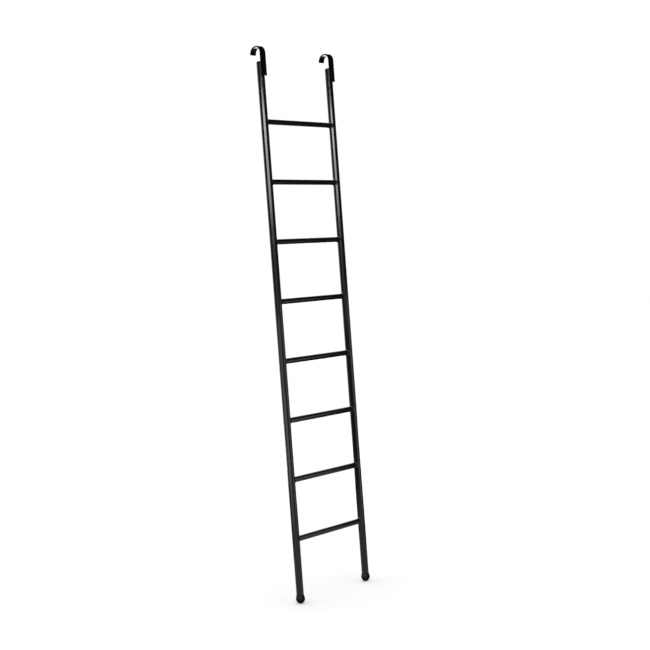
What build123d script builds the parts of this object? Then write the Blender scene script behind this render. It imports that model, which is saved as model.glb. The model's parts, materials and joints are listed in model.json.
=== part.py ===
from build123d import *
from math import sqrt
import os

# Rigid hook ladder of welded steel tube. It hangs by two flat-bar hooks over a bar or ledge.
#
# The origin is the centre of the hooks' inner arc, midway between the rails, so it lies on the axis
# of the bar that the ladder hangs from. +Z is up along the rails. +X runs along the rungs, from the
# left rail to the right rail as the climber sees them. +Y points away from the climber, over the bar.
# All sizes are in millimetres.

# Rails and rungs
rail_spacing = 468  # from rail axis to rail axis
rail_diameter = 35
rail_wall = 2
rung_diameter = 26.9
rung_wall = 1.5
rung_count = 8
rung_pitch = 280
first_rung_height = 304  # floor to the axis of the lowest rung

# Hooks, bent from flat bar
hook_width = 35
hook_thickness = 6
hook_edge_radius = 2
hook_inner_radius = 28
hook_sweep = 163  # degrees of arc, which leaves the tip flared a little outwards
hook_tip = 14  # straight end of the bar after the arc
hook_lap = 68  # length of bar that lies on the rail, counted down from the top of the plug
hook_rise = 39  # from the top of the plug up to the centre of the arc

# Height of the ladder without its hooks, from the floor to the top of the plugs
ladder_height = 2544

# Rubber feet, each a ball with a short collar round the tube
foot_diameter = 44
foot_flat_radius = 5
foot_collar_diameter = 38
foot_collar_height = 39  # floor to the collar's rim
foot_floor = 12  # rubber under the washer, at the axis
foot_neck_radius = 3
foot_rim_radius = 0.6

# Steel washers that carry the tubes inside the feet
washer_diameter = 34.6
washer_hole_diameter = 11
washer_thickness = 2

# Plastic end plugs in the tops of the rails
plug_head_thickness = 3
plug_head_diameter = 34.6
plug_head_radius = 1.8
plug_depth = 18
plug_shell_diameter = 29
plug_shell_wall = 2
plug_rib_count = 3
plug_rib_thickness = 1.5
plug_rib_spacing = 5

# Weld beads
rung_weld_leg = 3.5
hook_weld_inner = 5  # distance of the bead's root from the hook's centre line
hook_weld_outer = 12.5  # distance of the bead's face from the hook's centre line
hook_weld_face_bulge = 1
hook_weld_margin = 4  # bar left without weld at each end of the lap

# Places worked out from the sizes above
rail_radius = rail_diameter / 2
rail_bore_radius = rail_radius - rail_wall
rung_radius = rung_diameter / 2
rail_x = rail_spacing / 2
rail_y = rail_radius - hook_inner_radius
floor_z = -(ladder_height + hook_rise)
plug_top_z = floor_z + ladder_height
rail_top_z = plug_top_z - plug_head_thickness
rail_bottom_z = floor_z + foot_floor + washer_thickness
rung_heights = [floor_z + first_rung_height + i * rung_pitch for i in range(rung_count)]
hook_bottom_z = plug_top_z - hook_lap
hook_middle_y = -(hook_inner_radius + hook_thickness / 2)
sides = {"left": -rail_x, "right": rail_x}

os.makedirs("parts", exist_ok=True)


def save(part, name):
    """Label a finished piece and write its STEP file."""
    part.label = name
    export_step(part, f"parts/{name}.step")


def make_rail(name, x):
    """Straight round tube, from the washer in its foot to the underside of its plug's head."""
    with BuildPart() as rail:
        with BuildSketch(Plane(origin=(x, rail_y, rail_bottom_z))):
            Circle(rail_radius)
            Circle(rail_bore_radius, mode=Mode.SUBTRACT)
        extrude(amount=rail_top_z - rail_bottom_z)
    save(rail.part, name)


def make_rung(name, z):
    """Round tube between the rails, with both ends coped to the rails' outer surface."""
    with BuildPart() as rung:
        with BuildSketch(Plane(origin=(-rail_x, rail_y, z), x_dir=(0, 1, 0), z_dir=(1, 0, 0))):
            Circle(rung_radius)
            Circle(rung_radius - rung_wall, mode=Mode.SUBTRACT)
        extrude(amount=rail_spacing)
        with BuildSketch(Plane.XY.offset(z)):
            with Locations(*[(x, rail_y) for x in sides.values()]):
                Circle(rail_radius)
        extrude(amount=rung_diameter, both=True, mode=Mode.SUBTRACT)
    save(rung.part, name)


def make_hook(name, x):
    """Flat bar that runs up the front of the rail, over the bar it hangs from and down a short tip."""
    with BuildPart() as hook:
        with BuildLine(Plane.YZ.offset(x)) as path:
            shank = Line((hook_middle_y, hook_bottom_z), (hook_middle_y, 0))
            bend = JernArc(shank @ 1, shank % 1, -hook_middle_y, -hook_sweep)
            Line(bend @ 1, bend @ 1 + hook_tip * (bend % 1))
        with BuildSketch(Plane(origin=path.line @ 0, x_dir=(1, 0, 0), z_dir=path.line % 0)):
            RectangleRounded(hook_width, hook_thickness, hook_edge_radius)
        sweep(path=path.line)
    save(hook.part, name)


def make_plug(name, x):
    """Domed head that covers the tube's end, on a hollow stem with ribs that grip the bore."""
    with BuildPart() as plug:
        with BuildSketch(Plane(origin=(x, rail_y, rail_top_z))):
            Circle(plug_head_diameter / 2)
        extrude(amount=plug_head_thickness)
        fillet(plug.edges().group_by(Axis.Z)[-1], radius=plug_head_radius)
        with BuildSketch(Plane(origin=(x, rail_y, rail_top_z - plug_depth))):
            Circle(plug_shell_diameter / 2)
            Circle(plug_shell_diameter / 2 - plug_shell_wall, mode=Mode.SUBTRACT)
        extrude(amount=plug_depth)
        for i in range(plug_rib_count):
            rib_z = rail_top_z - (i + 1) * plug_rib_spacing
            with BuildSketch(Plane(origin=(x, rail_y, rib_z))):
                Circle(rail_bore_radius)
                Circle(plug_shell_diameter / 2 - plug_shell_wall, mode=Mode.SUBTRACT)
            extrude(amount=plug_rib_thickness)
    save(plug.part, name)


def make_foot(name, x):
    """Rubber ball with a socket for the tube and a small flat underneath."""
    ball_radius = foot_diameter / 2
    collar_radius = foot_collar_diameter / 2
    ball_centre = sqrt(ball_radius**2 - foot_flat_radius**2)
    neck = ball_centre + sqrt(ball_radius**2 - collar_radius**2)
    with BuildPart() as foot:
        with BuildSketch(Plane(origin=(x, rail_y, floor_z), x_dir=(1, 0, 0), z_dir=(0, -1, 0))) as profile:
            with BuildLine():
                Line((0, foot_floor), (0, 0))
                Line((0, 0), (foot_flat_radius, 0))
                ThreePointArc((foot_flat_radius, 0), (ball_radius, ball_centre), (collar_radius, neck))
                Polyline(
                    (collar_radius, neck),
                    (collar_radius, foot_collar_height),
                    (rail_radius, foot_collar_height),
                    (rail_radius, foot_floor),
                    (0, foot_floor),
                )
            make_face()
            rim = profile.vertices().group_by(Axis.Y)[-1].sort_by(Axis.X)[-1]
            fillet(rim, radius=foot_rim_radius)
            throat = profile.vertices().sort_by_distance((collar_radius, neck))[0]
            fillet(throat, radius=foot_neck_radius)
        revolve(axis=Axis((x, rail_y, floor_z), (0, 0, 1)))
    save(foot.part, name)


def make_washer(name, x):
    """Flat steel ring between the tube's end and the rubber."""
    with BuildPart() as washer:
        with BuildSketch(Plane(origin=(x, rail_y, floor_z + foot_floor))):
            Circle(washer_diameter / 2)
            Circle(washer_hole_diameter / 2, mode=Mode.SUBTRACT)
        extrude(amount=washer_thickness)
    save(washer.part, name)


def make_rung_welds(name, x):
    """One ring of weld round each rung, in the corner between the rung and its rail."""
    with BuildPart() as bead:
        with BuildSketch(Plane.XY):
            Circle(rail_radius)
        extrude(amount=rail_diameter, both=True)
        with BuildSketch(Plane.YZ):
            Circle(rung_radius)
        extrude(amount=rail_diameter if x < 0 else -rail_diameter)
        corner = bead.edges().filter_by(lambda edge: edge.geom_type not in (GeomType.LINE, GeomType.CIRCLE))
        chamfer(corner, length=rung_weld_leg)
        with BuildSketch(Plane.XY):
            Circle(rail_radius)
        extrude(amount=rail_diameter, both=True, mode=Mode.SUBTRACT)
        with BuildSketch(Plane.YZ):
            Circle(rung_radius)
        extrude(amount=rail_diameter, both=True, mode=Mode.SUBTRACT)
    with BuildPart() as welds:
        with Locations(*[(x, rail_y, z) for z in rung_heights]):
            add(bead.part)
    save(welds.part, name)


def make_hook_welds(name, x):
    """Two straight beads in the tapering grooves between the flat bar and the round rail."""
    bar_face = -rail_radius
    root = sqrt(rail_radius**2 - hook_weld_inner**2)
    toe = sqrt(rail_radius**2 - hook_weld_outer**2)
    middle_x = (hook_weld_inner + hook_weld_outer) / 2
    middle_y = sqrt(rail_radius**2 - middle_x**2)
    face = (hook_weld_outer + hook_weld_face_bulge, (bar_face - toe) / 2)
    with BuildPart() as welds:
        with BuildSketch(Plane(origin=(x, rail_y, hook_bottom_z + hook_weld_margin))):
            with BuildLine():
                Line((hook_weld_inner, -root), (hook_weld_inner, bar_face))
                Line((hook_weld_inner, bar_face), (hook_weld_outer, bar_face))
                ThreePointArc((hook_weld_outer, bar_face), face, (hook_weld_outer, -toe))
                ThreePointArc((hook_weld_outer, -toe), (middle_x, -middle_y), (hook_weld_inner, -root))
            make_face()
            mirror(about=Plane.YZ)
        extrude(amount=hook_lap - plug_head_thickness - 2 * hook_weld_margin)
    save(welds.part, name)


for number, height in enumerate(rung_heights, start=1):
    make_rung(f"rung_{number}", height)
for side, side_x in sides.items():
    make_rail(f"{side}_rail", side_x)
    make_hook(f"{side}_hook", side_x)
    make_plug(f"{side}_top_plug", side_x)
    make_foot(f"{side}_foot", side_x)
    make_washer(f"{side}_foot_washer", side_x)
    make_rung_welds(f"{side}_rung_welds", side_x)
    make_hook_welds(f"{side}_hook_welds", side_x)
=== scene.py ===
from math import asin, cos, exp, pi, radians, sin, sqrt, tan, tau
import json
import bpy
import bmesh
from mathutils import Matrix, Vector


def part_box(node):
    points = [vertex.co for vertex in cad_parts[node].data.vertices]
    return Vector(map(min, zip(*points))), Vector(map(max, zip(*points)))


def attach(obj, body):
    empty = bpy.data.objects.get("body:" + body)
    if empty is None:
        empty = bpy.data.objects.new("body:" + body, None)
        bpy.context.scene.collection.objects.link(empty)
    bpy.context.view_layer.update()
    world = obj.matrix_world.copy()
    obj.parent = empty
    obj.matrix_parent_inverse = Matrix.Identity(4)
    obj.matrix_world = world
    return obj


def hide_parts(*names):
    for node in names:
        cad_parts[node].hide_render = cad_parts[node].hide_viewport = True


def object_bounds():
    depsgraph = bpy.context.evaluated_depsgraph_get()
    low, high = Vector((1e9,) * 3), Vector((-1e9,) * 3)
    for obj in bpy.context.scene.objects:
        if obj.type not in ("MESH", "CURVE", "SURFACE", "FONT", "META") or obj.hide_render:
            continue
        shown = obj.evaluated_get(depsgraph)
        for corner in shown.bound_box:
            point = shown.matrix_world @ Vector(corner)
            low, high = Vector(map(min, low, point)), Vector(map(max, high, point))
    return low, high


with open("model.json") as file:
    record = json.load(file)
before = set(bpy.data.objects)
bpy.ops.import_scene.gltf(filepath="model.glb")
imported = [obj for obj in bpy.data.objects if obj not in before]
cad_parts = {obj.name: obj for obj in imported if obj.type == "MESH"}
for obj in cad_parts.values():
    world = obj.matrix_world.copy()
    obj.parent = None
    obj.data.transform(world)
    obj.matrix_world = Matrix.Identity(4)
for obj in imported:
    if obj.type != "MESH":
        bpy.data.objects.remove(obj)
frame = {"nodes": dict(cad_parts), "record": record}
cad_low, cad_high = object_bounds()

# Everything is in metres, in the frame of the CAD model: +Z up along the rails, +X along the rungs,
# -Y towards the climber, and the origin at the centre of the hooks' arc, between the rails.
MM = 0.001
SIDES = ("left", "right")
RUNGS = sorted(name for name in frame["nodes"] if name.startswith("rung_"))
BODY = "root"

# How finely round shapes are divided
AROUND_RAIL = 96
AROUND_RUNG = 72
AROUND_END = 96  # plugs and feet
CORNER_STEPS = 4
SMOOTH_BELOW = radians(32)

# What the CAD model is made with and its boxes don't tell
RAIL_WALL = 2 * MM
RUNG_WALL = 1.5 * MM
HOOK_SWEEP = radians(163)
HOOK_TIP = 14 * MM
HOOK_EDGE_RADIUS = 2 * MM
RUNG_WELD_LEG = 3.5 * MM
HOOK_WELD_INNER = 5 * MM
HOOK_WELD_OUTER = 12.5 * MM
HOOK_WELD_BULGE = 1 * MM


# ---------------------------------------------------------------- sizes, read from the frame

def middle(node):
    """Middle of a CAD node's box."""
    low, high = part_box(node)
    return (low + high) / 2


def size(node):
    """Width, depth and height of a CAD node's box."""
    low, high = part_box(node)
    return high - low


rail_radius = size("left_rail").x / 2
rung_radius = size(RUNGS[0]).z / 2
rail_y = middle("left_rail").y
rail_x = {side: middle(f"{side}_rail").x for side in SIDES}
floor_z = cad_low.z
seat = next(m for m in frame["record"]["mounts"] if m["name"] == "hook_seat")
hook_inner_radius = seat["dims"]["r_mm"] * MM
hook_thickness = -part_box("left_hook")[0].y - hook_inner_radius
hook_width = size("left_hook").x


# ---------------------------------------------------------------- mesh tools

def add_loft(bm, rings, join_ends=False):
    """Skin closed rings of equal length. The ends are joined to each other, or closed by a face each."""
    rows = [[bm.verts.new(point) for point in ring] for ring in rings]
    count = len(rows[0])
    pairs = list(zip(rows, rows[1:]))
    if join_ends:
        pairs.append((rows[-1], rows[0]))
    else:
        bm.faces.new(rows[0][::-1])
        bm.faces.new(rows[-1])
    for near, far in pairs:
        for i in range(count):
            j = (i + 1) % count
            bm.faces.new((near[i], near[j], far[j], far[i]))


def add_lathe(bm, profile, around, origin, join_ends=False):
    """Turn a profile of (radius, height) points about the vertical line through origin."""
    turns = [tau * i / around for i in range(around)]
    rings = [[origin + Vector((r * cos(t), r * sin(t), z)) for t in turns] for r, z in profile]
    add_loft(bm, rings, join_ends)


def rounded(points, radius):
    """A closed outline of (x, y) points with each corner turned into an arc."""
    made = []
    for i, point in enumerate(points):
        corner = Vector(point)
        before = (Vector(points[i - 1]) - corner).normalized()
        after = (Vector(points[(i + 1) % len(points)]) - corner).normalized()
        half = before.angle(after) / 2
        centre = corner + (before + after).normalized() * radius / sin(half)
        start = corner + before * radius / tan(half) - centre
        end = corner + after * radius / tan(half) - centre
        turn = start.angle_signed(end)
        for step in range(CORNER_STEPS + 1):
            # angle_signed is clockwise positive, and Matrix.Rotation is the other way
            made.append(tuple(centre + Matrix.Rotation(-turn * step / CORNER_STEPS, 2) @ start))
    return made


def finish_piece(bm, name, material, slot, *nodes):
    """Clean the mesh, put it on the object's one body and let it stand for its CAD nodes."""
    bmesh.ops.remove_doubles(bm, verts=bm.verts, dist=1e-7)
    bmesh.ops.recalc_face_normals(bm, faces=bm.faces)
    mesh = bpy.data.meshes.new(name)
    bm.to_mesh(mesh)
    bm.free()
    mesh.shade_smooth()
    mesh.set_sharp_from_angle(angle=SMOOTH_BELOW)
    mesh.materials.append(material)
    piece = bpy.data.objects.new(name, mesh)
    bpy.context.scene.collection.objects.link(piece)
    # Long flat and straight faces keep their own direction next to the small faces of an edge
    piece.modifiers.new("large_faces_lead", "WEIGHTED_NORMAL").keep_sharp = True
    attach(piece, BODY)
    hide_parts(*nodes)
    return piece


# ---------------------------------------------------------------- materials

def new_material(name, base, roughness, ior=1.5):
    """A material with its shader, its object coordinates and its node tools."""
    material = bpy.data.materials.new(name)
    material.use_nodes = True
    nodes = material.node_tree.nodes
    shader = nodes["Principled BSDF"]
    shader.inputs["Base Color"].default_value = (*base, 1)
    shader.inputs["Roughness"].default_value = roughness
    shader.inputs["IOR"].default_value = ior
    coordinates = nodes.new("ShaderNodeTexCoord")
    return material, shader, coordinates.outputs["Object"]


def noise(material, place, scale, detail=2.0, roughness=0.5):
    """A smooth random value for each place, with about scale features to the metre."""
    node = material.node_tree.nodes.new("ShaderNodeTexNoise")
    node.inputs["Scale"].default_value = scale
    node.inputs["Detail"].default_value = detail
    node.inputs["Roughness"].default_value = roughness
    material.node_tree.links.new(place, node.inputs["Vector"])
    return node.outputs["Fac"]


def ramp(material, value, stops, target):
    """Carry a value through a colour ramp, whose stops are (place, colour), to a socket."""
    node = material.node_tree.nodes.new("ShaderNodeValToRGB")
    elements = node.color_ramp.elements
    while len(elements) < len(stops):
        elements.new(0.5)
    for element, (place, colour) in zip(elements, stops):
        element.position = place
        element.color = (*colour, 1)
    material.node_tree.links.new(value, node.inputs["Fac"])
    material.node_tree.links.new(node.outputs["Color"], target)


def map_range(material, value, low, high, target):
    """Spread a noise value, which stays near its middle, from low to high."""
    node = material.node_tree.nodes.new("ShaderNodeMapRange")
    node.inputs["From Min"].default_value = 0.3
    node.inputs["From Max"].default_value = 0.7
    node.inputs["To Min"].default_value = low
    node.inputs["To Max"].default_value = high
    material.node_tree.links.new(value, node.inputs["Value"])
    material.node_tree.links.new(node.outputs["Result"], target)


def bump(material, shader, layers):
    """Chain bump layers, each (height value, depth in metres, strength), into the shader's normal."""
    previous = None
    for value, depth, strength in layers:
        node = material.node_tree.nodes.new("ShaderNodeBump")
        node.inputs["Distance"].default_value = depth
        node.inputs["Strength"].default_value = strength
        material.node_tree.links.new(value, node.inputs["Height"])
        if previous is not None:
            material.node_tree.links.new(previous, node.inputs["Normal"])
        previous = node.outputs["Normal"]
    material.node_tree.links.new(previous, shader.inputs["Normal"])


def powder_coat(name, dark, light, roughness):
    """Satin black powder coat: a fine orange peel, faint clouding and an uneven sheen."""
    material, shader, place = new_material(name, dark, roughness)
    clouds = noise(material, place, scale=9, detail=4)
    ramp(material, clouds, [(0.35, dark), (0.65, light)], shader.inputs["Base Color"])
    sheen = noise(material, place, scale=60, detail=3)
    map_range(material, sheen, roughness - 0.03, roughness + 0.04, shader.inputs["Roughness"])
    peel = noise(material, place, scale=420, detail=1.5)
    grain = noise(material, place, scale=1700, detail=1)
    bump(material, shader, [(peel, 0.0002, 0.04), (grain, 0.00004, 0.05)])
    return material


def moulded(name, dark, light, roughness, grain_scale, grain_depth):
    """Moulded rubber or plastic: a matt grain with soft mottling."""
    material, shader, place = new_material(name, dark, roughness)
    mottle = noise(material, place, scale=45, detail=4)
    ramp(material, mottle, [(0.35, dark), (0.65, light)], shader.inputs["Base Color"])
    wear = noise(material, place, scale=160, detail=3)
    map_range(material, wear, roughness - 0.06, roughness + 0.06, shader.inputs["Roughness"])
    grain = noise(material, place, scale=grain_scale, detail=3, roughness=0.6)
    bump(material, shader, [(grain, grain_depth, 0.4)])
    return material


def zinc(name):
    """Bright zinc plate with faint spangle, on the washers inside the feet."""
    material, shader, place = new_material(name, (0.55, 0.56, 0.56), 0.38)
    shader.inputs["Metallic"].default_value = 1
    spangle = noise(material, place, scale=260, detail=2)
    stops = [(0.4, (0.48, 0.49, 0.5)), (0.6, (0.62, 0.62, 0.61))]
    ramp(material, spangle, stops, shader.inputs["Base Color"])
    map_range(material, noise(material, place, scale=500), 0.3, 0.45, shader.inputs["Roughness"])
    return material


COAT = powder_coat(
    "black_powder_coat", dark=(0.0028, 0.0029, 0.0032), light=(0.0042, 0.0043, 0.0047), roughness=0.15
)
BAR_COAT = powder_coat(
    "black_powder_coat_bar", dark=(0.0022, 0.0022, 0.0024), light=(0.0034, 0.0034, 0.0036), roughness=0.2
)
WELD_COAT = powder_coat(
    "coated_weld", dark=(0.0026, 0.0026, 0.0028), light=(0.0038, 0.0038, 0.004), roughness=0.34
)
PLASTIC = moulded(
    "black_plastic", dark=(0.004, 0.004, 0.004), light=(0.006, 0.006, 0.006), roughness=0.42,
    grain_scale=900, grain_depth=0.00008,
)
RUBBER = moulded(
    "black_rubber", dark=(0.0045, 0.0045, 0.0045), light=(0.007, 0.007, 0.0069), roughness=0.5,
    grain_scale=650, grain_depth=0.00015,
)
ZINC = zinc("zinc_plated_steel")


# ---------------------------------------------------------------- rails and rungs

TUBE_EDGE = 0.35 * MM  # rounding of a tube's cut edges under the coat


def make_rail(side):
    """Round tube with its cut edges softened by the coat."""
    low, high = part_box(f"{side}_rail")
    bore = rail_radius - RAIL_WALL
    corners = [(bore, low.z), (rail_radius, low.z), (rail_radius, high.z), (bore, high.z)]
    bm = bmesh.new()
    origin = Vector((rail_x[side], rail_y, 0))
    add_lathe(bm, rounded(corners, TUBE_EDGE), AROUND_RAIL, origin, join_ends=True)
    finish_piece(bm, f"{side}_rail_tube", COAT, "black_powder_coat", f"{side}_rail")


def rail_surface(offset):
    """Distance from a rail's axis to its surface, along X, at a distance offset from the axis along Y."""
    return sqrt(max(rail_radius**2 - offset**2, 0))


def make_rung(node):
    """Round tube whose ends follow the surface of the rails."""
    z = middle(node).z
    turns = [tau * i / AROUND_RUNG for i in range(AROUND_RUNG)]

    def ring(radius, end):
        """Circle of the rung at one end, -1 or 1, where it meets the rail's surface."""
        points = []
        for t in turns:
            y = radius * cos(t)
            x = end * (rail_x["right"] - rail_surface(y))
            points.append((x, rail_y + y, z + radius * sin(t)))
        return points

    bore = rung_radius - RUNG_WALL
    bm = bmesh.new()
    rings = [ring(rung_radius, -1), ring(rung_radius, 1), ring(bore, 1), ring(bore, -1)]
    add_loft(bm, rings, join_ends=True)
    finish_piece(bm, f"{node}_tube", COAT, "black_powder_coat", node)


# ---------------------------------------------------------------- weld beads

RIPPLE_PITCH = 1.9 * MM
RIPPLE_HEIGHT = 0.2 * MM
RIPPLE_CROWN = 0.45  # how far the middle of each ripple runs ahead of its ends, in pitches
BEAD_BULGE = 0.55 * MM
BEAD_BURIED = 0.15 * MM  # how far the bead's toes sink below the tubes
FACE_STEPS = 8
WAVES = ((310, 1.0), (730, 2.3), (1270, 4.1))  # radians to the metre, and how the seed shifts each wave

# The ring round each rung
RING_STATIONS = 264
RING_STRETCH = 1.2  # length of the ring over the rung's girth
RING_SHY = 0.25 * MM  # how much shorter its legs are than the CAD bead's, which leaves room to bulge
RING_UNEVEN = 0.06  # how much its legs vary, as a share of them
CRATER_HEIGHT = 0.35 * MM  # extra height where the ring closes on itself
CRATER_PLACE = 4.2  # radians round the rung
CRATER_WIDTH = 0.16

# The straight bead in the groove beside each hook
GROOVE_STATIONS = 200
GROOVE_TAPER = 3 * MM
GROOVE_START = 0.45  # reach of its ends, as a share of its full reach
GROOVE_UNEVEN = 0.2 * MM
GROOVE_BULGE = 0.7 * HOOK_WELD_BULGE  # leaves room for the ripple


def ripple(along, across):
    """Height of the bead's scales at a distance along the bead, and at across from 0 to 1 over it."""
    phase = (along / RIPPLE_PITCH + RIPPLE_CROWN * 4 * across * (1 - across)) % 1
    return RIPPLE_HEIGHT * (1 - (2 * phase - 1) ** 2)


def wander(along, seed):
    """Slow unevenness of a hand-laid bead, from -1 to 1."""
    return sum(sin(along * rate + shift * seed) for rate, shift in WAVES) / len(WAVES)


def add_ring_bead(bm, side, z, seed):
    """Fillet weld all round a rung, in the corner between the rung and the rail."""
    sign = 1 if side == "left" else -1
    step = tau * rung_radius * RING_STRETCH / RING_STATIONS
    rings = []
    for i in range(RING_STATIONS):
        t = tau * i / RING_STATIONS
        along = i * step
        leg = RUNG_WELD_LEG * (1 + RING_UNEVEN * wander(along, seed)) - RING_SHY
        y, dz = rung_radius * cos(t), rung_radius * sin(t)
        # The corner line, its slope where the two tubes are rolled flat, and a leg's length square to it
        x = rail_surface(y)
        slope_rung = y * sin(t) / x
        length_rung = sqrt(1 + slope_rung**2)
        turn = t - slope_rung / length_rung * leg / rung_radius
        toe_rung = (x + leg / length_rung, rung_radius * cos(turn), rung_radius * sin(turn))
        arc_rate = -rung_radius * sin(t) * rail_radius / x
        height_rate = rung_radius * cos(t)
        norm = sqrt(arc_rate**2 + height_rate**2)
        arc = asin(y / rail_radius) + leg * height_rate / norm / rail_radius
        toe_rail = (rail_radius * cos(arc), rail_radius * sin(arc), dz - leg * arc_rate / norm)
        root = Vector((x, y, dz))
        first, last = Vector(toe_rung), Vector(toe_rail)
        outward = ((first + last) / 2 - root).normalized()
        inward_rung = Vector((0, -cos(turn), -sin(turn))) * BEAD_BURIED
        inward_rail = Vector((-cos(arc), -sin(arc), 0)) * BEAD_BURIED
        crater = CRATER_HEIGHT * exp(-(((t - CRATER_PLACE) / CRATER_WIDTH) ** 2))
        ring = [root - outward * BEAD_BURIED, first + inward_rung]
        for k in range(FACE_STEPS + 1):
            w = k / FACE_STEPS
            crown = 4 * w * (1 - w)
            height = crown * (BEAD_BULGE + crater) + sqrt(crown) * ripple(along, w)
            ring.append(first.lerp(last, w) + outward * height)
        ring.append(last + inward_rail)
        rings.append([Vector((rail_x[side] + sign * p.x, rail_y + p.y, z + p.z)) for p in ring])
    add_loft(bm, rings, join_ends=True)


def make_rung_welds(side):
    """The rings round every rung's end on one rail, each a little different from the next."""
    bm = bmesh.new()
    for number, node in enumerate(RUNGS):
        add_ring_bead(bm, side, middle(node).z, seed=1.7 * number + (0 if side == "left" else 0.9))
    finish_piece(bm, f"{side}_rung_weld_beads", WELD_COAT, "coated_weld", f"{side}_rung_welds")


def add_groove_bead(bm, side, hand, seed):
    """Straight weld that fills the groove between the hook's flat bar and the round rail."""
    low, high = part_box(f"{side}_hook_welds")
    length = high.z - low.z
    bar_face = -rail_radius
    root = -rail_surface(HOOK_WELD_INNER)
    rings = []
    for i in range(GROOVE_STATIONS + 1):
        along = length * i / GROOVE_STATIONS
        end = min(along, length - along)
        fill = sqrt(max(0.0, 1 - (1 - min(end / GROOVE_TAPER, 1)) ** 2))
        share = GROOVE_START + (1 - GROOVE_START) * fill
        reach = HOOK_WELD_INNER + (HOOK_WELD_OUTER - HOOK_WELD_INNER) * share
        reach += GROOVE_UNEVEN * wander(along, seed) * fill
        toe = -rail_surface(reach)
        ring = [(HOOK_WELD_INNER, root + BEAD_BURIED), (HOOK_WELD_INNER, bar_face - BEAD_BURIED)]
        for k in range(FACE_STEPS + 1):
            w = k / FACE_STEPS
            crown = 4 * w * (1 - w)
            x = reach + (crown * GROOVE_BULGE + sqrt(crown) * ripple(along, w)) * fill
            ring.append((x, bar_face + (toe - bar_face) * w))
        ring.append((reach - BEAD_BURIED, toe + BEAD_BURIED))
        rings.append([Vector((rail_x[side] + hand * x, rail_y + y, low.z + along)) for x, y in ring])
    add_loft(bm, rings)


def make_hook_welds(side):
    """The two beads that hold one hook."""
    bm = bmesh.new()
    for hand in (-1, 1):
        add_groove_bead(bm, side, hand, seed=2.6 + hand)
    finish_piece(bm, f"{side}_hook_weld_beads", WELD_COAT, "coated_weld", f"{side}_hook_welds")


# ---------------------------------------------------------------- hooks

CUT_EDGE = 0.6 * MM  # rounding of the bar's sawn ends
CUT_STEPS = 4
ARC_STEPS = 72


def make_hook(side):
    """Flat bar with rolled edges: up the front of the rail, over the arc and down the flared tip."""
    radius = hook_inner_radius + hook_thickness / 2
    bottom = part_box(f"{side}_hook")[0].z
    ends = [CUT_EDGE * step / CUT_STEPS for step in range(CUT_STEPS + 1)]

    def section(inset):
        """Outline of the bar, drawn in by inset where a sawn end is rounded."""
        half_width, half_thick = hook_width / 2 - inset, hook_thickness / 2 - inset
        corners = [(-half_width, -half_thick), (half_width, -half_thick),
                   (half_width, half_thick), (-half_width, half_thick)]
        return rounded(corners, HOOK_EDGE_RADIUS - 0.5 * inset)

    def inset_at(distance):
        """How far the outline is drawn in at a distance from a sawn end, up to CUT_EDGE."""
        return CUT_EDGE - sqrt(CUT_EDGE**2 - (CUT_EDGE - distance) ** 2)

    def station(point, heading, inset):
        """The section at a (y, z) point, square to a heading, with its face along X."""
        normal = Vector((0, heading[1], -heading[0]))
        base = Vector((rail_x[side], *point))
        return [base + Vector((u, 0, 0)) + normal * v for u, v in section(inset)]

    rings = []
    for distance in ends:
        rings.append(station((-radius, bottom + distance), (0, 1), inset_at(distance)))
    for i in range(ARC_STEPS + 1):
        turn = HOOK_SWEEP * i / ARC_STEPS
        rings.append(station((-radius * cos(turn), radius * sin(turn)), (sin(turn), cos(turn)), 0))
    last = (-radius * cos(HOOK_SWEEP), radius * sin(HOOK_SWEEP))
    heading = (sin(HOOK_SWEEP), cos(HOOK_SWEEP))
    for distance in reversed(ends):
        reach = HOOK_TIP - distance
        point = (last[0] + heading[0] * reach, last[1] + heading[1] * reach)
        rings.append(station(point, heading, inset_at(distance)))
    bm = bmesh.new()
    add_loft(bm, rings)
    finish_piece(bm, f"{side}_hook_bar", BAR_COAT, "black_powder_coat_bar", f"{side}_hook")


# ---------------------------------------------------------------- plugs and feet

PLUG_EDGE_WIDTH = 1.8 * MM  # rounding of the head's edge
PLUG_EDGE_HEIGHT = 1.6 * MM
PLUG_DOME = 0.35 * MM
PLUG_SINK = 0.5 * MM  # small round recess in the middle of the head
PLUG_SINK_FLOOR = 2.2 * MM
PLUG_SINK_RIM = 2.6 * MM
PLUG_SINK_LIP = 0.02 * MM  # from the head's top down to the recess's rim
PLUG_NICK = 0.15 * MM  # chamfer under the head
PLUG_LEAD = 0.3 * MM  # chamfer at the stem's end
PLUG_RIBS = 3
PLUG_RIB_PITCH = 5 * MM
PLUG_RIB_HEIGHT = 1.5 * MM
PLUG_RIB_SLOPE = 0.5 * MM
PLUG_STEM_GAP = 1 * MM  # between the stem and the tube's bore, which the ribs bridge
PLUG_STEM_WALL = 2 * MM
DOME_STEPS = 8
EDGE_STEPS = 7


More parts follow.
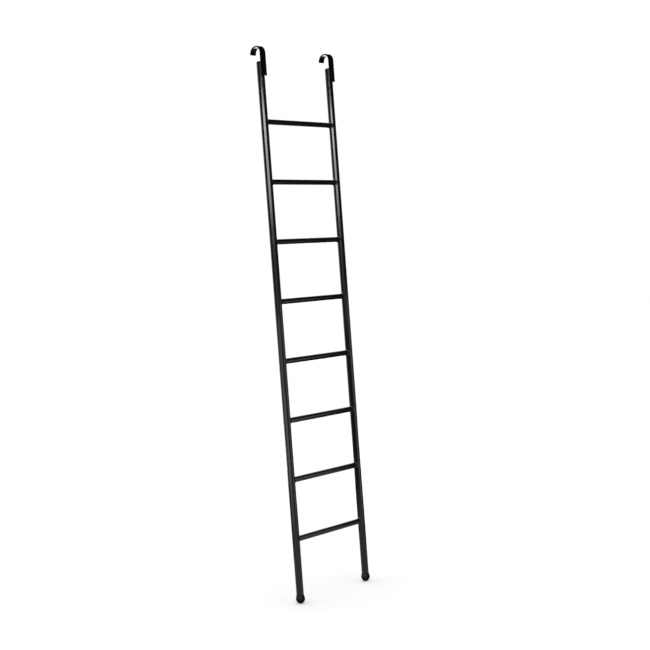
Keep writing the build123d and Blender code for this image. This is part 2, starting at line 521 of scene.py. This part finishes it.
def make_plug(side):
    """Domed end plug with a small recess in its head and ribs on its hollow stem."""
    low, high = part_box(f"{side}_top_plug")
    head = (high - low).x / 2
    rail_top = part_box(f"{side}_rail")[1].z
    bore = rail_radius - RAIL_WALL
    stem = bore - PLUG_STEM_GAP
    inner = stem - PLUG_STEM_WALL
    recess_floor = high.z - PLUG_SINK
    profile = [(0, recess_floor), (PLUG_SINK_FLOOR, recess_floor), (PLUG_SINK_RIM, high.z - PLUG_SINK_LIP)]
    for i in range(1, DOME_STEPS + 1):
        r = PLUG_SINK_RIM + (head - PLUG_EDGE_WIDTH - PLUG_SINK_RIM) * i / DOME_STEPS
        profile.append((r, high.z - PLUG_DOME * (r / head) ** 2))
    for i in range(1, EDGE_STEPS + 1):
        turn = pi / 2 * i / EDGE_STEPS
        drop = PLUG_DOME + PLUG_EDGE_HEIGHT * (1 - cos(turn))
        profile.append((head - PLUG_EDGE_WIDTH * (1 - sin(turn)), high.z - drop))
    profile += [(head, rail_top + PLUG_NICK), (head - PLUG_NICK, rail_top), (stem, rail_top)]
    for i in range(PLUG_RIBS):
        rib = rail_top - (i + 1) * PLUG_RIB_PITCH
        rib_top = rib + PLUG_RIB_HEIGHT
        profile += [(stem, rib_top), (bore, rib_top - PLUG_RIB_SLOPE)]
        profile += [(bore, rib + PLUG_RIB_SLOPE), (stem, rib)]
    profile += [(stem, low.z + PLUG_LEAD), (stem - PLUG_LEAD, low.z), (inner, low.z)]
    profile += [(inner, rail_top), (0, rail_top)]
    bm = bmesh.new()
    add_lathe(bm, profile, AROUND_END, Vector((rail_x[side], rail_y, 0)))
    finish_piece(bm, f"{side}_end_plug", PLASTIC, "black_plastic", f"{side}_top_plug")


FOOT_FLAT = 5 * MM  # radius of the flat tread
FOOT_FLOOR = 12 * MM  # rubber under the washer
FOOT_WALL = 1.5 * MM  # rubber round the tube
FOOT_LIP = 0.7 * MM  # radius of the rolled lip at the top
FOOT_LIP_DEPTH = 1.2 * MM
FOOT_TREAD_EDGE = 5.3 * MM  # where the ball starts beside the tread
FOOT_NECK_DROP = 9 * MM  # from the lip down to where the ball ends
FOOT_THROAT = 3.2 * MM  # height of the sweep from the ball to the collar
LINE_HEIGHT = 0.25 * MM  # parting line of the mould round the ball
LINE_HALF_WIDTH = 0.6 * MM
BALL_STEPS = 44
THROAT_STEPS = 8
LIP_STEPS = 6

# Outline of the tread in millimetres, from its middle out: a recess, a ring and a second ring
TREAD = [(0, 0.8), (1.2, 0.8), (1.5, 0.1), (1.8, 0), (2.8, 0), (3.1, 0.5), (3.7, 0.5), (4.0, 0), (4.8, 0)]


def make_foot(side):
    """Rubber ball ferrule: flat tread with rings, a fine parting line and a rolled lip round the tube."""
    low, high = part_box(f"{side}_foot")
    ball = (high - low).x / 2
    collar = rail_radius + FOOT_WALL
    socket_floor = low.z + FOOT_FLOOR
    centre = low.z + sqrt(ball**2 - FOOT_FLAT**2)
    skin = ball - LINE_HEIGHT
    profile = [(radius * MM, low.z + height * MM) for radius, height in TREAD]
    start = asin(-sqrt(1 - (FOOT_TREAD_EDGE / skin) ** 2))
    neck = asin((high.z - FOOT_NECK_DROP - centre) / skin)
    for i in range(BALL_STEPS + 1):
        turn = start + (neck - start) * i / BALL_STEPS
        rise = skin * sin(turn)
        line = max(0.0, 1 - (rise / LINE_HALF_WIDTH) ** 2)
        profile.append((skin * cos(turn) + LINE_HEIGHT * line, centre + rise))
    throat = profile[-1]
    for i in range(1, THROAT_STEPS + 1):
        w = i / THROAT_STEPS
        radius = throat[0] + (collar - throat[0]) * (1 - (1 - w) ** 2)
        profile.append((radius, throat[1] + FOOT_THROAT * w))
    for i in range(LIP_STEPS + 1):
        turn = pi * i / LIP_STEPS
        profile.append((collar - FOOT_LIP + FOOT_LIP * cos(turn), high.z - FOOT_LIP + FOOT_LIP * sin(turn)))
    profile += [(rail_radius, high.z - FOOT_LIP_DEPTH), (rail_radius, socket_floor), (0, socket_floor)]
    bm = bmesh.new()
    add_lathe(bm, profile, AROUND_END, Vector((rail_x[side], rail_y, 0)))
    finish_piece(bm, f"{side}_ball_foot", RUBBER, "black_rubber", f"{side}_foot")


def finish_washer(side):
    """The washer keeps its CAD mesh, out of sight in the foot, and gets its own finish."""
    washer = frame["nodes"][f"{side}_foot_washer"]
    washer.data.materials.clear()
    washer.data.materials.append(ZINC)


for rung in RUNGS:
    make_rung(rung)
for side_name in SIDES:
    make_rail(side_name)
    make_hook(side_name)
    make_rung_welds(side_name)
    make_hook_welds(side_name)
    make_plug(side_name)
    make_foot(side_name)
    finish_washer(side_name)


# ---------------------------------------------------------------- floor, light and camera

def make_floor():
    """Plain pale studio floor, a wide disc under the feet."""
    bm = bmesh.new()
    bmesh.ops.create_circle(bm, cap_ends=True, segments=128, radius=60)
    mesh = bpy.data.meshes.new("studio_floor")
    bm.to_mesh(mesh)
    bm.free()
    floor = bpy.data.objects.new("studio_floor", mesh)
    floor.location = (0, 0, floor_z)
    bpy.context.scene.collection.objects.link(floor)
    material, shader, place = new_material("pale_floor", (0.98, 0.98, 0.98), 0.9)
    shader.inputs["Specular IOR Level"].default_value = 0.1
    shader.inputs["Emission Color"].default_value = (1, 1, 1, 1)
    shader.inputs["Emission Strength"].default_value = 0.06
    clouds = noise(material, place, scale=0.6)
    stops = [(0.3, (0.98, 0.98, 0.98)), (0.7, (0.99, 0.99, 0.99))]
    ramp(material, clouds, stops, shader.inputs["Base Color"])
    mesh.materials.append(material)
    floor.visible_glossy = False


def softbox(name, azimuth, distance, bottom, top, width, brightness):
    """Upright area light facing the ladder: azimuth from the climber's side, heights above the floor."""
    light = bpy.data.lights.new(name, "AREA")
    light.shape = "RECTANGLE"
    light.size = width
    light.size_y = top - bottom
    light.energy = pi * width * (top - bottom) * brightness
    lamp = bpy.data.objects.new(name, light)
    turn = radians(azimuth)
    lamp.location = (distance * sin(turn), rail_y - distance * cos(turn), floor_z + (top + bottom) / 2)
    lamp.rotation_euler = (pi / 2, 0, turn)
    lamp.visible_camera = False
    bpy.context.scene.collection.objects.link(lamp)


def bounce(name, place, width, brightness):
    """Square area light lying on the floor and facing up, as a patch of bright floor would."""
    light = bpy.data.lights.new(name, "AREA")
    light.shape = "SQUARE"
    light.size = width
    light.energy = pi * width**2 * brightness
    lamp = bpy.data.objects.new(name, light)
    lamp.location = (*place, floor_z + 0.002)
    lamp.rotation_euler = (pi, 0, 0)
    lamp.visible_camera = False
    bpy.context.scene.collection.objects.link(lamp)


def keep_light_off(pieces, lamps):
    """Keep the light of the named lamps off the named pieces."""
    left_out = bpy.data.collections.new("left_out_of_" + lamps[0])
    for name in pieces:
        left_out.objects.link(bpy.data.objects[name])
    for member in left_out.collection_objects:
        member.light_linking.link_state = "EXCLUDE"
    for name in lamps:
        bpy.data.objects[name].light_linking.receiver_collection = left_out


def make_world():
    """White surroundings that light the scene and show behind it, but don't show in the gloss."""
    world = bpy.data.worlds.new("studio")
    bpy.context.scene.world = world
    world.use_nodes = True
    background = world.node_tree.nodes["Background"]
    background.inputs["Color"].default_value = (1, 1, 1, 1)
    background.inputs["Strength"].default_value = 1.02
    world.cycles_visibility.glossy = False


def make_camera():
    """The camera stands in front of the ladder, to the climber's left, and is rolled a little."""
    data = bpy.data.cameras.new("camera")
    data.lens = 69.33
    data.sensor_width = 36
    data.clip_end = 200
    camera = bpy.data.objects.new("camera", data)
    place = Matrix.Translation((-4.368, -4.158, -1.063))
    heading = Matrix.Rotation(-radians(46.967), 4, "Z")
    tilt = Matrix.Rotation(pi / 2 - radians(2.144), 4, "X")
    roll = Matrix.Rotation(-radians(4.235), 4, "Z")
    camera.matrix_world = place @ heading @ tilt @ roll
    bpy.context.scene.collection.objects.link(camera)
    bpy.context.scene.camera = camera


make_floor()
make_world()
softbox("key", azimuth=-51, distance=3.0, bottom=2.50, top=2.79, width=3.2, brightness=14)
softbox("key_skirt", azimuth=-50, distance=3.0, bottom=2.0, top=2.50, width=3.8, brightness=7.0)
softbox("high_back", azimuth=-160, distance=3.0, bottom=3.8, top=6.4, width=2.8, brightness=20)
softbox("mid_fill", azimuth=-55, distance=3.0, bottom=1.15, top=2.0, width=3.4, brightness=0.4)
softbox("low_left_patch", azimuth=-70, distance=1.45, bottom=0.36, top=0.9, width=1.6, brightness=0.6)
softbox("low_left", azimuth=-80, distance=1.5, bottom=0.1, top=1.3, width=2.0, brightness=1.0)
softbox("low_right", azimuth=20, distance=1.6, bottom=0.05, top=1.4, width=1.7, brightness=0.9)
softbox("backdrop_right", azimuth=125, distance=3.5, bottom=0.0, top=4.0, width=4.6, brightness=1.1)
softbox("backdrop_left", azimuth=-168, distance=3.5, bottom=0.0, top=4.0, width=3.8, brightness=0.9)
bounce("floor_bounce", place=(4.2, 3.2), width=4.4, brightness=4.5)
bounce("floor_patch", place=(-0.5, -0.5), width=2.8, brightness=0.5)

# The surroundings alone light the floor. The hooks' flat fronts don't mirror the key, the rubber feet
# stay darker than the tubes, and the right rail is duller low down than the left one.
FLOOR = ["studio_floor"]
HOOKS = [f"{side}_hook_bar" for side in SIDES]
FEET = [f"{side}_ball_foot" for side in SIDES]
keep_light_off(FLOOR + HOOKS, ["key", "key_skirt"])
keep_light_off(FLOOR + FEET + ["right_rail_tube"], ["low_left", "low_left_patch"])
keep_light_off(FLOOR + FEET, ["low_right", "floor_patch"])
keep_light_off(FLOOR, ["high_back", "mid_fill", "backdrop_right", "backdrop_left", "floor_bounce"])

make_camera()
bpy.context.scene.view_settings.view_transform = "Standard"
